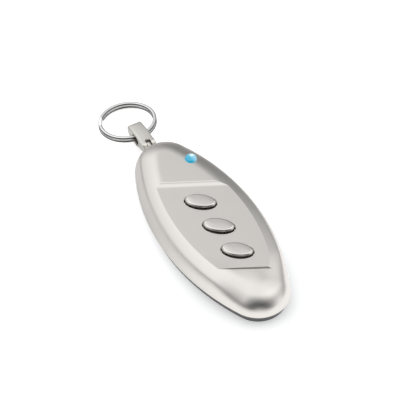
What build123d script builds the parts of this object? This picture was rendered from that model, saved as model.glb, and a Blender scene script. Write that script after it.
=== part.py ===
from build123d import *
import math
import os

os.makedirs("parts", exist_ok=True)

# A garage door remote that lies on its back, buttons up, in millimetres.
# Origin: middle of the flat rear face. +Y points to the key ring, +Z up.

fuse = 0.3  # how far a boss reaches into the wall that carries it

# Casing: a four-arc oval seen from above
body_length = 81.0
body_width = 35.2
tip_radius = 10.6
parting_height = 3.55
crown_height = 11.35

# Casing section, from the parting line inwards: three arcs, each with its radius and its slopes
side_arc = (11.1, 88.0, 60.0)
corner_arc = (2.44, 60.0, 27.0)
shoulder_arc = (20.0, 27.0, 8.0)

# Crown along the casing: flat in the middle, lower at both tips
nose_droop = 0.6
nose_from = 25.0
nose_to = 35.0
tip_droop = 0.25
tip_from = 22.0
tip_to = 34.0
crown_margin = 2.0

# Flat key field, cut between two slanted steps
field_height = 10.9
field_near = -22.0
field_far = 13.15
field_clear = 1.2
step_angle = 27.0
near_step_slope = 28.0
far_step_slope = 17.0

# Front shell inside: height and inset of each level of the cavity
wall = 1.7
ceiling_height = 9.5
cavity_levels = ((parting_height, wall), (4.8, wall), (6.8, 2.2), (8.5, 3.3), (ceiling_height, 5.8))

# Rear shell
rear_bottom_inset = 1.3
rear_edge = 0.35
parting_reveal = 0.1
floor_height = 1.3
floor_inset = 3.4
lip_height = 1.1
lip_play = 0.05
lip_thickness = 0.8

# Posts that hold the board between the shells
post_radius = 1.1
post_x = 10.5
post_y = 20.0

# Buttons, turned the same way as the steps
button_length = 10.2
button_width = 5.6
button_angle = -40.0
button_first = 7.0
button_pitch = 11.94
button_gap = 0.5
button_top = 12.2
button_edge = 0.75
button_flange = 0.8
button_wall = 1.0
button_boss_radius = 1.3
flange_bottom = 8.7
flange_height = 0.6

# Circuit board
board_bottom = 5.6
board_thickness = 1.0
board_inset = 2.9
board_half_length = 28.4

# Tactile switches
switch_size = 4.5
switch_height = 1.5
switch_floor = 0.4
cover_thickness = 0.2
cover_tab = 0.9
terminal_reach = 0.8
terminal_width = 0.7
terminal_thickness = 0.2
plunger_radius = 0.9
plunger_foot_radius = 1.35
plunger_foot_height = 0.4
plunger_bottom = 7.4
plunger_top = 8.45
plunger_play = 0.1

# Electronic parts
chip_height = 0.9
chip_bevel = 0.15
controller_size = 4.6
controller_place = (10.0, 4.0)
lead_reach = 0.7
lead_width = 0.35
lead_thickness = 0.2
lead_pitch = 0.8
leads_per_side = 5
radio_size = 3.6
radio_place = (-10.0, -3.0)
crystal_length = 6.0
crystal_width = 2.4
crystal_height = 1.3
crystal_edge = 0.4
crystal_place = (-10.2, 6.5)
small_part_length = 1.0
small_part_width = 0.55
small_part_height = 0.45
small_part_rows = ((9.6, -5.0, 6), (-9.2, -11.5, 4), (-2.0, 20.0, 3))
small_part_pitch = 1.5

# Antenna wire
antenna_half_span = 7.0
antenna_y = -25.0
antenna_height = 8.4
antenna_bend = 1.0
antenna_radius = 0.4

# Indicator light and its lens
led_x = 6.6
led_y = 25.0
led_length = 2.0
led_width = 1.4
led_height = 0.7
lens_radius = 1.95
lens_bottom = 7.6
lens_flange_radius = 2.35
lens_flange_height = 0.6
lens_dome_base = 10.9
lens_dome_top = 12.1

# Coin cell, 20 mm across and 3.2 mm thick, and its contacts
cell_y = -6.0
cell_radius = 10.0
cell_bottom = 1.75
cell_height = 3.2
can_edge = 0.4
crimp_height = 0.1
cap_radius = 8.7
cap_height = 0.4
cap_edge = 0.2
gasket_width = 0.6
gasket_height = 0.2
cradle_play = 0.4
cradle_thickness = 0.8
cradle_height = 2.0
clip_width = 5.0
clip_thickness = 0.3
clip_half_span = 11.6
clip_gap = 1.0
contact_width = 4.0
contact_thickness = 0.2
contact_start = -12.0
contact_pad = 4.0
contact_slope = 3.0
contact_foot = 3.0

# Case screws and their bosses
screw_y = 31.4
screw_radius = 0.85
screw_play = 0.1
screw_head_radius = 1.6
screw_head_height = 0.9
screw_head_depth = 0.3
screw_length = 6.0
screw_boss_radius = 2.3
recess_length = 1.8
recess_width = 0.45
recess_depth = 0.45

# Link, its pin and the lug on the casing's tip. Points of the link's side view are (y, z)
pin_y = 42.5
pin_z = 5.0
pin_radius = 0.5
pin_play = 0.05
pin_half_length = 2.1
lug_width = 1.9
lug_radius = 1.0
link_width = 5.0
link_edge = 0.3
link_waist_top = (45.2, 6.8)
link_crest = (48.4, 6.9)
link_shoulder = (51.5, 6.62)
link_corner = (52.7, 5.95)
link_tip = (53.0, 4.7)
link_chin = (52.35, 3.15)
link_heel = (50.8, 2.25)
link_belly = (47.8, 1.95)
link_waist_bottom = (45.2, 2.42)
ear_radius = 1.8
slot_width = 2.4
slot_end = 43.65
slot_corner = 0.4
eye_near = 45.3
eye_far = 49.45
eye_z = 4.25
eye_height = 2.9
eye_flare = 0.4

# Split ring: two flat turns of flattened wire, joined by a short climb
ring_outer_radius = 10.0
ring_wire_width = 1.25
ring_wire_height = 0.83
ring_wire_corner = 0.38
ring_turn_gap = 0.44
ring_eye_y = 47.9
ring_tilt = 9.5
climb_centre = 118.0
climb_angle = 24.0
climb_steps = 6
end_gap_angle = 3.0

half_width = body_width / 2
half_length = body_length / 2
board_top = board_bottom + board_thickness
button_places = [button_first - index * button_pitch for index in range(3)]
screw_places = [(0, screw_y), (0, -screw_y)]
post_places = [(x, y) for x in (-post_x, post_x) for y in (-post_y, post_y)]


def arc_end(start, radius, steep, gentle):
    """Where an arc of the casing's section ends: inset and height, from a steep slope to a gentle one."""
    a = math.radians(steep)
    b = math.radians(gentle)
    return start[0] + radius * (math.sin(a) - math.sin(b)), start[1] + radius * (math.cos(b) - math.cos(a))


def oval(inset):
    """The casing's outline drawn inwards by inset: four tangent arcs."""
    w = half_width - inset
    h = half_length - inset
    end = tip_radius - inset
    side = (w**2 + (h - end) ** 2 - end**2) / (2 * (w - end))
    joint_x = end * (side - w) / (side - end)
    joint_y = (h - end) * side / (side - end)
    with BuildLine() as outline:
        ThreePointArc((joint_x, -joint_y), (w, 0), (joint_x, joint_y))
        ThreePointArc((joint_x, joint_y), (0, h), (-joint_x, joint_y))
        ThreePointArc((-joint_x, joint_y), (-w, 0), (-joint_x, -joint_y))
        ThreePointArc((-joint_x, -joint_y), (0, -h), (joint_x, -joint_y))
    return outline.line


def button_oval(place, height, grow):
    """One button's ellipse at a height, larger by grow all round."""
    with BuildSketch(Plane((0, place, height))) as ellipse:
        Ellipse(button_length / 2 + grow, button_width / 2 + grow, rotation=button_angle)
    return ellipse.sketch


# Crown: the casing's top seen from the side, flat in the middle and eased down at both tips
nose_top = crown_height - nose_droop
tip_top = crown_height - tip_droop
crown_reach = half_length + crown_margin
with BuildPart() as crown:
    with BuildSketch(Plane.YZ.offset(-half_length)):
        with BuildLine():
            Line((-crown_reach, nose_top), (-nose_to, nose_top))
            Spline((-nose_to, nose_top), (-nose_from, crown_height), tangents=[(1, 0), (1, 0)])
            Line((-nose_from, crown_height), (tip_from, crown_height))
            Spline((tip_from, crown_height), (tip_to, tip_top), tangents=[(1, 0), (1, 0)])
            Line((tip_to, tip_top), (crown_reach, tip_top))
            Polyline((crown_reach, tip_top), (crown_reach, 0), (-crown_reach, 0), (-crown_reach, nose_top))
        make_face()
    extrude(amount=body_length)

# Front shell: crowned skin with the key field, openings, bosses and the lug for the link
with BuildPart() as front_shell:
    # Rounded rim swept round the outline, filled in the middle and cut by the crown
    outline = oval(0).moved(Location((0, 0, parting_height)))
    inward = Vector(0, 0, 1).cross(outline % 0)
    with BuildSketch(Plane(outline @ 0, x_dir=inward, z_dir=outline % 0)):
        with BuildLine():
            rim = (0, 0)
            for radius, steep, gentle in (side_arc, corner_arc, shoulder_arc):
                middle = arc_end(rim, radius, steep, (steep + gentle) / 2)
                end = arc_end(rim, radius, steep, gentle)
                ThreePointArc(rim, middle, end)
                rim = end
            Polyline(rim, (rim[0], 0), (0, 0))
        make_face()
    sweep(path=outline)
    with BuildSketch(Plane.XY.offset(parting_height)):
        add(oval(rim[0] - fuse))
        make_face()
    extrude(amount=rim[1])
    add(crown, mode=Mode.INTERSECT)

    # Lug on the far tip
    with BuildSketch(Plane.YZ.offset(-lug_width / 2)):
        with Locations((pin_y, pin_z)):
            Circle(lug_radius)
        with Locations((half_length - wall, pin_z - lug_radius)):
            Rectangle(pin_y - half_length + wall, 2 * lug_radius, align=Align.MIN)
    extrude(amount=lug_width)

    # Hollow inside
    for height, inset in cavity_levels:
        with BuildSketch(Plane.XY.offset(height)):
            add(oval(inset))
            make_face()
    loft(ruled=True, mode=Mode.SUBTRACT)

    # Screw bosses and board posts hang from the ceiling
    with BuildSketch(Plane.XY.offset(parting_height)):
        with Locations(*screw_places):
            Circle(screw_boss_radius)
    extrude(amount=ceiling_height - parting_height + fuse)
    with BuildSketch(Plane.XY.offset(board_top)):
        with Locations(*post_places):
            Circle(post_radius)
    extrude(amount=ceiling_height - board_top + fuse)

    # Key field: a shallow prism across the crown, its end walls sloped
    near_run = field_clear / math.tan(math.radians(near_step_slope))
    far_run = field_clear / math.tan(math.radians(far_step_slope))
    across = Vector(1, 0, 0).rotate(Axis.Z, -step_angle)
    along = Vector(0, 1, 0).rotate(Axis.Z, -step_angle)
    with BuildSketch(Plane((0, 0, 0), x_dir=along, z_dir=across).offset(-half_length)):
        with BuildLine():
            Polyline(
                (field_near, field_height),
                (field_far, field_height),
                (field_far + far_run, field_height + field_clear),
                (field_near - near_run, field_height + field_clear),
                close=True,
            )
        make_face()
    extrude(amount=2 * half_length, mode=Mode.SUBTRACT)

    # Openings for the buttons and the light
    for place in button_places:
        opening = button_oval(place, ceiling_height - fuse, button_gap)
        add(extrude(opening, amount=crown_height - ceiling_height), mode=Mode.SUBTRACT)
    with BuildSketch(Plane.XY.offset(lens_bottom)):
        with Locations((led_x, led_y)):
            Circle(lens_radius)
    extrude(amount=crown_height - lens_bottom, mode=Mode.SUBTRACT)

    # Screw pilots and the pin hole through the lug
    with BuildSketch(Plane.XY.offset(parting_height)):
        with Locations(*screw_places):
            Circle(screw_radius)
    extrude(amount=screw_head_depth + screw_length - parting_height + fuse, mode=Mode.SUBTRACT)
    with BuildSketch(Plane.YZ.offset(-lug_width)):
        with Locations((pin_y, pin_z)):
            Circle(pin_radius + pin_play)
    extrude(amount=2 * lug_width, mode=Mode.SUBTRACT)

# Rear shell: tapered tray with a lip that stands inside the front shell
with BuildPart() as rear_shell:
    edge_inset = rear_bottom_inset * (1 - rear_edge / parting_height)
    edge_levels = ((0, rear_bottom_inset + rear_edge), (rear_edge, edge_inset))
    for height, inset in (*edge_levels, (parting_height, parting_reveal)):
        with BuildSketch(Plane.XY.offset(height)):
            add(oval(inset))
            make_face()
    loft(ruled=True)
    with BuildSketch(Plane.XY.offset(parting_height)):
        add(oval(wall + lip_play))
        make_face()
    extrude(amount=lip_height)

    # Hollow inside
    with BuildSketch(Plane.XY.offset(floor_height)):
        add(oval(floor_inset))
        make_face()
    with BuildSketch(Plane.XY.offset(parting_height + lip_height)):
        add(oval(wall + lip_play + lip_thickness))
        make_face()
    loft(ruled=True, mode=Mode.SUBTRACT)

    # Screw bosses, board posts and the broken ring wall round the coin cell
    with BuildSketch(Plane.XY.offset(floor_height - fuse)):
        with Locations(*screw_places):
            Circle(screw_boss_radius)
    extrude(amount=parting_height - floor_height + fuse)
    with BuildSketch(Plane.XY.offset(floor_height - fuse)):
        with Locations(*post_places):
            Circle(post_radius)
    extrude(amount=board_bottom - floor_height + fuse)
    with BuildSketch(Plane.XY.offset(floor_height - fuse)):
        with Locations((0, cell_y)):
            Circle(cell_radius + cradle_play + cradle_thickness)
            Circle(cell_radius + cradle_play, mode=Mode.SUBTRACT)
            Rectangle(4 * cell_radius, clip_width + clip_gap, mode=Mode.SUBTRACT)
    extrude(amount=cradle_height + fuse)

    # Screw holes with counterbores
    with BuildSketch():
        with Locations(*screw_places):
            Circle(screw_radius + screw_play)
    extrude(amount=parting_height, mode=Mode.SUBTRACT)
    with BuildSketch():
        with Locations(*screw_places):
            Circle(screw_head_radius + screw_play)
    extrude(amount=screw_head_depth + screw_head_height, mode=Mode.SUBTRACT)

# Buttons: hollow oval caps with a flange under the opening and a boss over the switch
buttons = []
for index, place in enumerate(button_places):
    with BuildPart() as button:
        add(extrude(button_oval(place, flange_bottom, 0), amount=button_top - flange_bottom))
        fillet(button.edges().group_by(Axis.Z)[-1], button_edge)
        add(extrude(button_oval(place, flange_bottom, button_flange), amount=flange_height))
        inside = button_oval(place, flange_bottom, -button_wall)
        add(extrude(inside, amount=button_top - button_wall - flange_bottom), mode=Mode.SUBTRACT)
        with BuildSketch(Plane((0, place, plunger_top))):
            Circle(button_boss_radius)
        extrude(amount=button_top - button_wall - plunger_top + fuse)
    button.part.label = f"button_{index + 1}"
    buttons.append(button.part)

# Tactile switches: base with its terminals, metal cover with two tabs, and plunger
switches = []
cover_bottom = board_top + switch_height - cover_thickness
tab_y = (switch_size + cover_thickness) / 2
for index, place in enumerate(button_places):
    with BuildPart() as switch_base:
        with BuildSketch(Plane((0, place, board_top))):
            Rectangle(switch_size, switch_size)
        extrude(amount=switch_height - cover_thickness)
        with BuildSketch(Plane((0, place, board_top + switch_floor))):
            Circle(plunger_foot_radius + plunger_play)
        extrude(amount=switch_height, mode=Mode.SUBTRACT)
        with BuildSketch(Plane((0, place, board_top))):
            with GridLocations(switch_size + terminal_reach, switch_size - 2 * terminal_width, 2, 2):
                Rectangle(terminal_reach, terminal_width)
        extrude(amount=terminal_thickness)
    switch_base.part.label = f"switch_base_{index + 1}"

    with BuildPart() as switch_cover:
        with BuildSketch(Plane((0, place, cover_bottom))):
            Rectangle(switch_size, switch_size)
            with Locations((0, tab_y), (0, -tab_y)):
                Rectangle(cover_tab, cover_thickness)
            Circle(plunger_radius + plunger_play, mode=Mode.SUBTRACT)
        extrude(amount=cover_thickness)
        with BuildSketch(Plane((0, place, board_top + terminal_thickness))):
            with Locations((0, tab_y), (0, -tab_y)):
                Rectangle(cover_tab, cover_thickness)
        extrude(amount=switch_height - cover_thickness - terminal_thickness)
    switch_cover.part.label = f"switch_cover_{index + 1}"

    with BuildPart() as switch_plunger:
        with BuildSketch(Plane((0, place, plunger_bottom))):
            Circle(plunger_foot_radius)
        extrude(amount=plunger_foot_height)
        with BuildSketch(Plane((0, place, plunger_bottom))):
            Circle(plunger_radius)
        extrude(amount=plunger_top - plunger_bottom)
    switch_plunger.part.label = f"switch_plunger_{index + 1}"
    switches += [switch_base.part, switch_cover.part, switch_plunger.part]

# Circuit board: the casing's oval, cut square at both ends
with BuildPart() as circuit_board:
    with BuildSketch(Plane.XY.offset(board_bottom)):
        add(oval(board_inset))
        make_face()
        Rectangle(body_width, 2 * board_half_length, mode=Mode.INTERSECT)
    extrude(amount=board_thickness)

# Electronic parts on the board's upper side
with BuildPart() as controller_chip:
    with BuildSketch(Plane.XY.offset(board_top)):
        with Locations(controller_place):
            Rectangle(controller_size, controller_size)
    extrude(amount=chip_height)
    chamfer(controller_chip.edges().group_by(Axis.Z)[-1], chip_bevel)
    with BuildSketch(Plane.XY.offset(board_top)):
        with Locations(controller_place):
            with GridLocations(controller_size + lead_reach, lead_pitch, 2, leads_per_side):
                Rectangle(lead_reach, lead_width)
    extrude(amount=lead_thickness)

with BuildPart() as radio_chip:
    with BuildSketch(Plane.XY.offset(board_top)):
        with Locations(radio_place):
            Rectangle(radio_size, radio_size)
    extrude(amount=chip_height)
    chamfer(radio_chip.edges().group_by(Axis.Z)[-1], chip_bevel)

with BuildPart() as crystal:
    with BuildSketch(Plane.XY.offset(board_top)):
        with Locations(crystal_place):
            SlotOverall(crystal_length, crystal_width, rotation=90)
    extrude(amount=crystal_height)
    fillet(crystal.edges().group_by(Axis.Z)[-1], crystal_edge)

with BuildPart() as chip_components:
    with BuildSketch(Plane.XY.offset(board_top)):
        for x, first_y, count in small_part_rows:
            with Locations(*[(x, first_y - step * small_part_pitch) for step in range(count)]):
                Rectangle(small_part_length, small_part_width)
    extrude(amount=small_part_height)

with BuildPart() as indicator_led:
    with BuildSketch(Plane.XY.offset(board_top)):
        with Locations((led_x, led_y)):
            Rectangle(led_length, led_width)
    extrude(amount=led_height)

# Antenna: a round wire bridge across the near end of the board
with BuildPart() as antenna:
    with BuildLine() as antenna_path:
        FilletPolyline(
            (-antenna_half_span, antenna_y, board_top),
            (-antenna_half_span, antenna_y, antenna_height),
            (antenna_half_span, antenna_y, antenna_height),
            (antenna_half_span, antenna_y, board_top),
            radius=antenna_bend,
        )
    with BuildSketch(Plane((-antenna_half_span, antenna_y, board_top))):
        Circle(antenna_radius)
    sweep(path=antenna_path.line)

# Light guide: a turned stem with a flange below the shell and a domed head
with BuildPart() as led_lens:
    dome_rise = lens_dome_top - lens_dome_base
    dome_radius = (lens_radius**2 + dome_rise**2) / (2 * dome_rise)
    with BuildSketch(Plane((led_x, led_y, 0), x_dir=(1, 0, 0), z_dir=(0, -1, 0))):
        with BuildLine():
            Polyline(
                (0, lens_dome_top),
                (0, lens_bottom),
                (lens_flange_radius, lens_bottom),
                (lens_flange_radius, lens_bottom + lens_flange_height),
                (lens_radius, lens_bottom + lens_flange_height),
                (lens_radius, lens_dome_base),
            )
            RadiusArc((lens_radius, lens_dome_base), (0, lens_dome_top), -dome_radius)
        make_face()
    revolve(axis=Axis((led_x, led_y, 0), (0, 0, 1)))

# Coin cell: can with its filling, sealing ring and negative cap
cap_top = cell_bottom + cell_height
rim_height = cap_top - cap_height
with BuildPart() as battery_cell:
    with BuildSketch(Plane((0, cell_y, cell_bottom))):
        Circle(cell_radius)
    extrude(amount=rim_height - cell_bottom)
    fillet(battery_cell.edges().group_by(Axis.Z)[0], can_edge)
    with BuildSketch(Plane((0, cell_y, rim_height))):
        Circle(cell_radius)
        Circle(cap_radius + gasket_width, mode=Mode.SUBTRACT)
    extrude(amount=crimp_height)

with BuildPart() as battery_gasket:
    with BuildSketch(Plane((0, cell_y, rim_height))):
        Circle(cap_radius + gasket_width)
        Circle(cap_radius, mode=Mode.SUBTRACT)
    extrude(amount=gasket_height)

with BuildPart() as battery_cap:
    with BuildSketch(Plane((0, cell_y, rim_height))):
        Circle(cap_radius)
    extrude(amount=cap_height)
    fillet(battery_cap.edges().group_by(Axis.Z)[-1], cap_edge)

# Positive clip: a strap under the cell, its legs up to the board
with BuildPart() as battery_clip:
    outer_span = clip_half_span + clip_thickness
    with BuildSketch(Plane.XZ.offset(-cell_y - clip_width / 2)):
        with BuildLine():
            Polyline(
                (-clip_half_span, board_bottom),
                (-clip_half_span, cell_bottom),
                (clip_half_span, cell_bottom),
                (clip_half_span, board_bottom),
                (outer_span, board_bottom),
                (outer_span, cell_bottom - clip_thickness),
                (-outer_span, cell_bottom - clip_thickness),
                (-outer_span, board_bottom),
                close=True,
            )
        make_face()
    extrude(amount=clip_width)

# Negative contact: a pad under the board and a finger bent down to the cell's cap
with BuildPart() as battery_contact:
    pad_end = contact_start + contact_pad
    foot_start = pad_end + contact_slope
    foot_end = foot_start + contact_foot
    with BuildSketch(Plane.YZ.offset(-contact_width / 2)):
        with BuildLine():
            Polyline(
                (contact_start, board_bottom),
                (pad_end, board_bottom),
                (foot_start, cap_top + contact_thickness),
                (foot_end, cap_top + contact_thickness),
                (foot_end, cap_top),
                (foot_start, cap_top),
                (pad_end, board_bottom - contact_thickness),
                (contact_start, board_bottom - contact_thickness),
                close=True,
            )
        make_face()
    extrude(amount=contact_width)

# Case screws: pan heads in the rear face, shanks up into the front shell
with BuildPart() as case_screws:
    with BuildSketch(Plane.XY.offset(screw_head_depth)):
        with Locations(*screw_places):
            Circle(screw_head_radius)
    extrude(amount=screw_head_height)
    with BuildSketch(Plane.XY.offset(screw_head_depth)):
        with Locations(*screw_places):
            Circle(screw_radius)
    extrude(amount=screw_length)
    with BuildSketch(Plane.XY.offset(screw_head_depth)):
        with Locations(*screw_places):
            Rectangle(recess_length, recess_width)
            Rectangle(recess_width, recess_length)
    extrude(amount=recess_depth, mode=Mode.SUBTRACT)

# Link: flat-sided loop, forked round the lug, with an eye for the ring. Its underside runs straight
# from the waist to the ears and touches their circle at the heel
waist_angle = math.atan2(link_waist_bottom[1] - pin_z, link_waist_bottom[0] - pin_y)
heel_angle = waist_angle - math.acos(ear_radius / math.dist(link_waist_bottom, (pin_y, pin_z)))
ear_heel = (pin_y + ear_radius * math.cos(heel_angle), pin_z + ear_radius * math.sin(heel_angle))
with BuildPart() as link:
    with BuildSketch(Plane.YZ.offset(-link_width / 2)):
        with BuildLine():
            top = Line((pin_y, pin_z + ear_radius), link_waist_top)
            crest = ThreePointArc(top @ 1, link_crest, link_shoulder)
            shoulder = ThreePointArc(crest @ 1, link_corner, link_tip)
            chin = ThreePointArc(shoulder @ 1, link_chin, link_heel)
            belly = ThreePointArc(chin @ 1, link_belly, link_waist_bottom)
            Line(belly @ 1, ear_heel)
            ThreePointArc(ear_heel, (pin_y - ear_radius, pin_z), (pin_y, pin_z + ear_radius))
        make_face()
        with Locations(((eye_near + eye_far) / 2, eye_z)):
            SlotOverall(eye_far - eye_near, eye_height, mode=Mode.SUBTRACT)
    extrude(amount=link_width)
    outer_wires = [face.outer_wire() for face in link.faces().filter_by(Axis.X)]
    fillet([edge for wire in outer_wires for edge in wire.edges()], link_edge)
    eye_wires = [face.inner_wires()[0] for face in link.faces().filter_by(Axis.X)]
    fillet([edge for wire in eye_wires for edge in wire.edges()], eye_flare)

    # Slot of the fork, its inner corners rounded
    with BuildSketch(Plane.XY):
        with Locations((0, slot_end - ear_radius * 2)):
            RectangleRounded(slot_width, 4 * ear_radius, slot_corner)
    extrude(amount=crown_height, mode=Mode.SUBTRACT)

    # Blind pin hole through both ears, open on the +X side
    with BuildSketch(Plane.YZ.offset(-pin_half_length)):
        with Locations((pin_y, pin_z)):
            Circle(pin_radius)
    extrude(amount=pin_half_length + link_width, mode=Mode.SUBTRACT)

with BuildPart() as link_pin:
    with BuildSketch(Plane.YZ.offset(-pin_half_length)):
        with Locations((pin_y, pin_z)):
            Circle(pin_radius)
    extrude(amount=pin_half_length + link_width / 2)

# Split ring: built flat about its own centre, then tilted and hung in the eye
turn_rise = ring_wire_height + ring_turn_gap
ring_radius = ring_outer_radius - ring_wire_width / 2
turn_span = 360 - climb_angle - end_gap_angle


def wire_height(angle):
    """Height of the wire's centre above the middle of the stack, angle counted from the free lower end."""
    share = min(max((angle - turn_span) / climb_angle, 0), 1)
    return turn_rise * (share * share * (3 - 2 * share) - 0.5)


def wire_section(angle):
    """Rounded rectangle across the wire at an angle along it."""
    turned = math.radians(climb_centre + climb_angle / 2 + end_gap_angle + angle)
    outward = Vector(math.cos(turned), math.sin(turned), 0)
    centre = outward * ring_radius + Vector(0, 0, wire_height(angle))
    with BuildSketch(Plane(centre, x_dir=outward, z_dir=outward.rotate(Axis.Z, 90))) as section:
        RectangleRounded(ring_wire_width, ring_wire_height, ring_wire_corner)
    return section.sketch


rises = [wire_height(angle + 360) - wire_height(angle) for angle in range(int(turn_span) + 1)]
print("least gap between the ring's turns", round(min(rises) - ring_wire_height, 3), "mm")

ring_y = ring_eye_y + math.cos(math.radians(ring_tilt)) * ring_radius
ring_z = eye_z - math.sin(math.radians(ring_tilt)) * ring_radius
ring_place = Location((0, ring_y, ring_z), (-ring_tilt, 0, 0))
with BuildPart() as flat_ring:
    revolve(wire_section(0), axis=Axis.Z, revolution_arc=turn_span)
    revolve(wire_section(turn_span + climb_angle), axis=Axis.Z, revolution_arc=turn_span)
    loft([wire_section(turn_span + step * climb_angle / climb_steps) for step in range(climb_steps + 1)])
with BuildPart() as split_ring:
    add(flat_ring.part.moved(ring_place))

pieces = {
    "front_shell": front_shell.part,
    "rear_shell": rear_shell.part,
    "circuit_board": circuit_board.part,
    "controller_chip": controller_chip.part,
    "radio_chip": radio_chip.part,
    "crystal": crystal.part,
    "chip_components": chip_components.part,
    "indicator_led": indicator_led.part,
    "antenna": antenna.part,
    "led_lens": led_lens.part,
    "battery_cell": battery_cell.part,
    "battery_gasket": battery_gasket.part,
    "battery_cap": battery_cap.part,
    "battery_clip": battery_clip.part,
    "battery_contact": battery_contact.part,
    "case_screws": case_screws.part,
    "link": link.part,
    "link_pin": link_pin.part,
    "split_ring": split_ring.part,
}
for name, piece in pieces.items():
    piece.label = name
for piece in [*pieces.values(), *buttons, *switches]:
    export_step(piece, f"parts/{piece.label}.step")
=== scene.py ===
import math

import bmesh
import bpy
from mathutils import Matrix, Vector


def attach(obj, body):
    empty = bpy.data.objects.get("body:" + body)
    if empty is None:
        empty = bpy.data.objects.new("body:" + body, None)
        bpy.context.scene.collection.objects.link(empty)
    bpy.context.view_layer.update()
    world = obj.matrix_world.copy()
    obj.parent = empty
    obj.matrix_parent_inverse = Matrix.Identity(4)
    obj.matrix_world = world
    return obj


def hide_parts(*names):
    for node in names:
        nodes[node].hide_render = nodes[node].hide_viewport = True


# A garage door remote that lies on its back, in metres.
# Origin: middle of the rear face. +Y points to the key ring, +Z up out of the keys.

mm = 0.001

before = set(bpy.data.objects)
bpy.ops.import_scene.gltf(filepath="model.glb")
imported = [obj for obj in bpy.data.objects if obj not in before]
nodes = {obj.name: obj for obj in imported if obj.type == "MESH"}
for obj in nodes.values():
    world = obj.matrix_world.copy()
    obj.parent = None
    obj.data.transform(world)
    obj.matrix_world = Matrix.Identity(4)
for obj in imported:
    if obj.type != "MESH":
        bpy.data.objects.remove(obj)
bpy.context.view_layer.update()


# Helpers for node trees

def wire(tree, socket, value):
    if isinstance(value, bpy.types.NodeSocket):
        tree.links.new(value, socket)
    else:
        socket.default_value = value


def addNode(tree, kind, inputs=None, **settings):
    made = tree.nodes.new(kind)
    for name, value in settings.items():
        setattr(made, name, value)
    for key, value in (inputs or {}).items():
        wire(tree, made.inputs[key], value)
    return made


def maths(tree, operation, *values):
    return addNode(tree, "ShaderNodeMath", dict(enumerate(values)), operation=operation).outputs[0]


def vectorMaths(tree, operation, *values):
    return addNode(tree, "ShaderNodeVectorMath", dict(enumerate(values)), operation=operation).outputs[0]


def scaled(tree, vector, factor):
    return addNode(tree, "ShaderNodeVectorMath", {0: vector, "Scale": factor}, operation="SCALE").outputs[0]


# a value taken from start..end to low..high
def mapped(tree, value, start, end, low=0.0, high=1.0, kind="SMOOTHSTEP"):
    return addNode(tree, "ShaderNodeMapRange", {
        "Value": value, "From Min": start, "From Max": end, "To Min": low, "To Max": high,
    }, interpolation_type=kind).outputs[0]


def separated(tree, vector):
    return addNode(tree, "ShaderNodeSeparateXYZ", {0: vector}).outputs


# keeps a vector on the geometry as it is now; gives the geometry and the kept value
def capture(tree, geometry, value):
    made = tree.nodes.new("GeometryNodeCaptureAttribute")
    made.capture_items.new("VECTOR", "Kept")
    tree.links.new(geometry, made.inputs["Geometry"])
    tree.links.new(value, made.inputs["Kept"])
    return made.outputs["Geometry"], made.outputs["Kept"]


def geometryTree(name, sockets):
    tree = bpy.data.node_groups.new(name, "GeometryNodeTree")
    tree.interface.new_socket("Geometry", in_out="INPUT", socket_type="NodeSocketGeometry")
    tree.interface.new_socket("Geometry", in_out="OUTPUT", socket_type="NodeSocketGeometry")
    for label, kind in sockets:
        tree.interface.new_socket(label, in_out="INPUT", socket_type="NodeSocket" + kind)
    return tree, tree.nodes.new("NodeGroupInput").outputs


def closeTree(tree, geometry, material):
    real = addNode(tree, "GeometryNodeRealizeInstances", {0: geometry}).outputs[0]
    covered = addNode(tree, "GeometryNodeSetMaterial", {"Geometry": real, "Material": material}).outputs[0]
    tree.links.new(covered, tree.nodes.new("NodeGroupOutput").inputs[0])


# smooth faces, sharp where an edge turns by more than angle
def creased(tree, geometry, angle, extra=None):
    smooth = addNode(tree, "GeometryNodeSetShadeSmooth", {"Geometry": geometry}, domain="FACE").outputs[0]
    turn = tree.nodes.new("GeometryNodeInputMeshEdgeAngle").outputs[0]
    picked = maths(tree, "GREATER_THAN", turn, angle)
    if extra is not None:
        picked = maths(tree, "MAXIMUM", picked, extra)
    return addNode(
        tree, "GeometryNodeSetShadeSmooth",
        {"Geometry": smooth, "Selection": picked, "Shade Smooth": False}, domain="EDGE",
    ).outputs[0]


# Helpers for objects

def show(obj):
    bpy.context.scene.collection.objects.link(obj)
    return obj


def meshObject(name, mesh=None):
    return show(bpy.data.objects.new(name, mesh or bpy.data.meshes.new(name)))


# the plain mesh that a geometry tree makes with these values, on top of a base object if there is one
def grown(name, tree, values, base=None):
    host = base or meshObject(name + "Host")
    modifier = host.modifiers.new(tree.name, "NODES")
    modifier.node_group = tree
    for item in tree.interface.items_tree:
        if item.in_out == "INPUT" and item.name in values:
            modifier[item.identifier] = values[item.name]
    return flattened(host, name)


def flattened(host, name):
    bpy.context.view_layer.update()
    evaluated = host.evaluated_get(bpy.context.evaluated_depsgraph_get())
    mesh = bpy.data.meshes.new_from_object(evaluated)
    bpy.data.objects.remove(host)
    mesh.name = name
    return meshObject(name, mesh)


# points along an arc, its last one left to whatever follows
def arc(centre, radius, start, end, steps):
    turns = [math.radians(start + (end - start) * i / steps) for i in range(steps)]
    return [(centre[0] + radius * math.cos(t), centre[1] + radius * math.sin(t)) for t in turns]


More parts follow.
